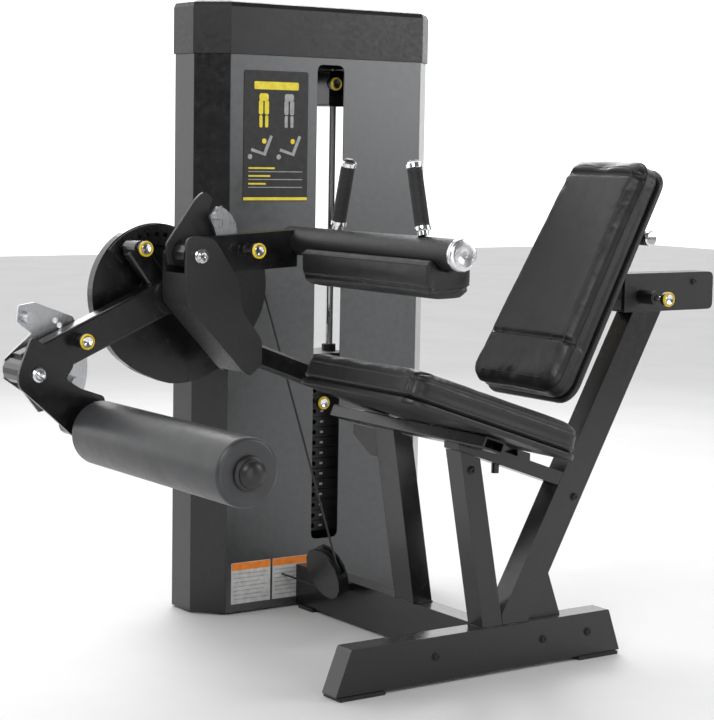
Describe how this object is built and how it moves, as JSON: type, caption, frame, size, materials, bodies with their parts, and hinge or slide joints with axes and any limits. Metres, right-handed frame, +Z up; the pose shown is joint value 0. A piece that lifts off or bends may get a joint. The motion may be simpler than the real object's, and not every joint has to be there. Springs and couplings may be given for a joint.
{
  "type": "seated leg curl machine",
  "caption": "Selectorised seated leg curl: weight tower, base frame, seat and sliding back pad, thigh pad with grips, and a cam-driven lever with an ankle roller.",
  "frame": {"origin": "on the floor under the middle of the bounding box", "axes": "+Z up, +X along the tower's front towards the user's back, +Y from the foot bar to the tower"},
  "size_m": [1.522, 1.228, 1.42],
  "materials": {
    "black_paint": "satin black powder coat",
    "wrinkle_black": "wrinkle black powder coat",
    "grey_paint": "dark metallic grey powder coat",
    "silver_paint": "light silver powder coat",
    "black_plastic": "moulded black plastic",
    "chrome": "polished chrome plate",
    "zinc": "bright zinc plate",
    "aluminium": "machined aluminium",
    "vinyl": "black upholstery vinyl over foam",
    "roller_foam": "skinned dark grey foam",
    "rubber": "black rubber",
    "cast_iron": "black coated steel plate",
    "knob": "yellow ring with a chrome button",
    "cable": "black nylon coated steel cable"
  },
  "bodies": {
    "frame": {"tower_front_panel": "grey_paint", "tower_left_cover": "black_paint", "tower_right_cover": "silver_paint", "tower_rear_cover": "grey_paint", "tower_cap": "black_plastic", "tower_base": "black_paint", "guide_rod_left": "chrome", "guide_rod_right": "chrome", "rod_bridge": "black_paint", "resting_weight_plates": "cast_iron", "base_spine": "black_paint", "foot_bar": "black_paint", "foot_left": "rubber", "foot_right": "rubber", "seat_front_post": "black_paint", "seat_far_post": "black_paint", "back_post": "black_paint", "cross_rail": "black_paint", "seat_beam": "black_paint", "seat_pad": "vinyl", "knee_bracket_front": "wrinkle_black", "knee_bracket_rear": "wrinkle_black", "knee_beam": "black_paint", "knee_axle": "chrome", "thigh_bolt": "chrome", "back_sleeve": "wrinkle_black", "floor_pulley_guard": "black_paint", "cable": "cable"},
    "stack": {"lifted_weight_plates": "cast_iron", "head_plate": "cast_iron", "selector_stem": "zinc"},
    "selector_pin": {"selector_pin": "knob"},
    "increment": {"increment_block": "black_paint"},
    "increment_pin": {"increment_pin": "knob"},
    "floor_pulley": {"floor_pulley": "black_plastic"},
    "low_pulley": {"low_pulley": "black_plastic"},
    "top_pulley": {"top_pulley": "black_plastic"},
    "cam": {"cam": "black_paint", "cam_index_plate": "zinc", "cable_on_cam": "cable"},
    "lever": {"lever": "black_paint"},
    "start_pin": {"start_pin": "knob"},
    "ankle_pin": {"ankle_pin": "knob"},
    "ankle": {"ankle_bracket": "black_paint", "ankle_pivot": "chrome", "ankle_sector": "zinc", "roller_shaft": "black_plastic"},
    "roller": {"roller_pad": "roller_foam"},
    "thigh": {"thigh_arm": "black_paint", "thigh_tab": "zinc", "thigh_tube": "wrinkle_black", "thigh_tube_cap": "aluminium", "thigh_pad": "vinyl", "thigh_grip_far": "rubber", "thigh_grip_near": "rubber"},
    "thigh_pin": {"thigh_pin": "knob"},
    "back": {"back_slide": "black_paint", "back_pad": "vinyl", "back_grip_bar": "rubber"},
    "back_pin": {"back_pin": "knob"}
  },
  "joints": [
    {"name": "cam_curl", "type": "hinge", "parent": "frame", "child": "cam", "pos_m": [-0.394, 0.137, 0.785], "axis": [0, -1, 0], "range_deg": [0, 70]},
    {"name": "lever_start_adjust", "type": "hinge", "parent": "cam", "child": "lever", "pos_m": [-0.394, 0.077, 0.785], "axis": [0, -1, 0], "range_deg": [-45, 0]},
    {"name": "ankle_adjust", "type": "hinge", "parent": "lever", "child": "ankle", "pos_m": [-0.72, 0.057, 0.644], "axis": [0, -1, 0], "range_deg": [-20, 15]},
    {"name": "roller_spin", "type": "hinge", "parent": "ankle", "child": "roller", "pos_m": [-0.601, -0.308, 0.527], "axis": [0, -1, 0], "continuous": true},
    {"name": "thigh_height_adjust", "type": "hinge", "parent": "frame", "child": "thigh", "pos_m": [-0.39, -0.018, 0.871], "axis": [0, -1, 0], "range_deg": [-6, 30]},
    {"name": "backrest_slide", "type": "slide", "parent": "frame", "child": "back", "axis": [1, 0, 0], "range_m": [-0.05, 0.07]},
    {"name": "stack_lift", "type": "slide", "parent": "frame", "child": "stack", "axis": [0, 0, 1], "range_m": [0, 0.295]},
    {"name": "selector_pin_pull", "type": "slide", "parent": "stack", "child": "selector_pin", "axis": [0, -1, 0], "range_m": [0, 0.12]},
    {"name": "increment_weight_drop", "type": "slide", "parent": "frame", "child": "increment", "axis": [0, 0, -1], "range_m": [0, 0.56]},
    {"name": "increment_pin_pull", "type": "slide", "parent": "increment", "child": "increment_pin", "axis": [0, -1, 0], "range_m": [0, 0.01], "stiffness_N_per_m": 600},
    {"name": "start_pin_pull", "type": "slide", "parent": "lever", "child": "start_pin", "axis": [0, -1, 0], "range_m": [0, 0.01], "stiffness_N_per_m": 600},
    {"name": "ankle_pin_pull", "type": "slide", "parent": "lever", "child": "ankle_pin", "axis": [0, -1, 0], "range_m": [0, 0.01], "stiffness_N_per_m": 600},
    {"name": "thigh_pin_pull", "type": "slide", "parent": "thigh", "child": "thigh_pin", "axis": [0, -1, 0], "range_m": [0, 0.012], "stiffness_N_per_m": 600},
    {"name": "back_pin_pull", "type": "slide", "parent": "frame", "child": "back_pin", "axis": [0, -1, 0], "range_m": [0, 0.012], "stiffness_N_per_m": 600},
    {"name": "floor_pulley_turn", "type": "hinge", "parent": "frame", "child": "floor_pulley", "pos_m": [0.091, 0.187, 0.13], "axis": [0.9508, 0, 0.3097], "range_deg": [-345, 5]},
    {"name": "low_pulley_turn", "type": "hinge", "parent": "frame", "child": "low_pulley", "pos_m": [0.10649, 0.461, 0.12746], "axis": [1, 0, 0], "range_deg": [-385, 5]},
    {"name": "top_pulley_turn", "type": "hinge", "parent": "frame", "child": "top_pulley", "pos_m": [0.16249, 0.506, 1.35], "axis": [0, 1, 0], "range_deg": [-320, 5]}
  ],
  "couplings": [
    {"joint": "stack_lift", "follows": "cam_curl", "m_per_rad": 0.24},
    {"joint": "floor_pulley_turn", "follows": "cam_curl", "ratio": -4.8},
    {"joint": "low_pulley_turn", "follows": "cam_curl", "ratio": -5.3333},
    {"joint": "top_pulley_turn", "follows": "cam_curl", "ratio": -4.2851}
  ]
}
